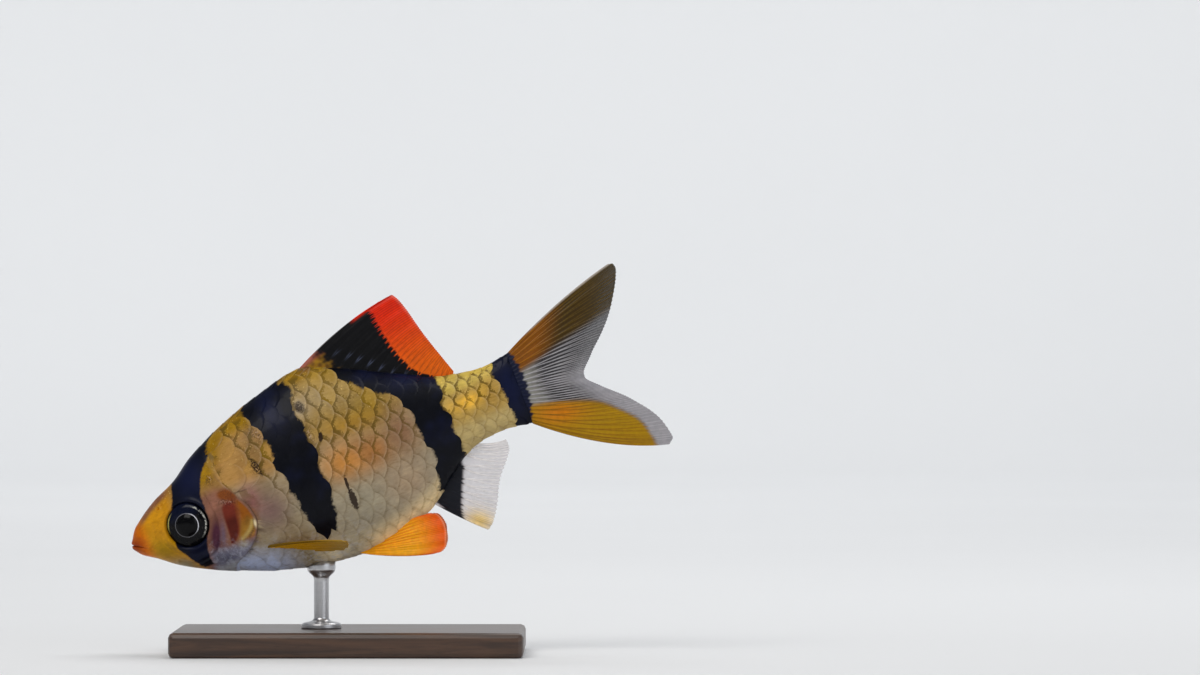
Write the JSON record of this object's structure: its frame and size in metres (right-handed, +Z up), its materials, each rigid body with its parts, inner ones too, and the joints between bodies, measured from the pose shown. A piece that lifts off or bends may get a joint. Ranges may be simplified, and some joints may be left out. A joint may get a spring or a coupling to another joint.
{
  "type": "tiger barb",
  "caption": "Still, life-size model of a small deep-bodied barred freshwater fish with its fins spread, swimming nose down, on a rod over a flat base.",
  "frame": {"origin": "centre of the stand base's underside", "axes": "+X towards the tail, along the base; +Y to the fish's right side; +Z up"},
  "size_m": [0.065, 0.026, 0.047],
  "materials": {
    "head_skin": "wet fish skin: orange snout, blue-black eye bar, pink and silver cheek",
    "body_skin": "wet scaly skin: pale gold and silver with blue-black bars",
    "gill_cover_skin": "wet smooth skin: red-brown with a gold rim",
    "eye": "polished, near black, with a thin silver ring",
    "dorsal_fin": "thin membrane: black with a red outer band",
    "tail_fin": "thin clear membrane: orange and yellow lobes, pale rays",
    "anal_fin": "thin clear membrane: black front base, pale rays",
    "pelvic_fin": "thin membrane: orange with a red tip",
    "pectoral_fin": "thin clear membrane: olive leading ray",
    "stand_wood": "dark satin varnish",
    "stand_steel": "satin"
  },
  "bodies": {
    "root": {"head": "head_skin", "torso": "body_skin", "tail_peduncle": "body_skin", "gill_cover_left": "gill_cover_skin", "gill_cover_right": "gill_cover_skin", "eye_left": "eye", "eye_right": "eye", "dorsal_fin": "dorsal_fin", "tail_fin_upper": "tail_fin", "tail_fin_lower": "tail_fin", "anal_fin": "anal_fin", "pelvic_fin_left": "pelvic_fin", "pelvic_fin_right": "pelvic_fin", "pectoral_fin_left": "pectoral_fin", "pectoral_fin_right": "pectoral_fin", "stand_base": "stand_wood", "stand_rod": "stand_steel"}
  },
  "joints": []
}
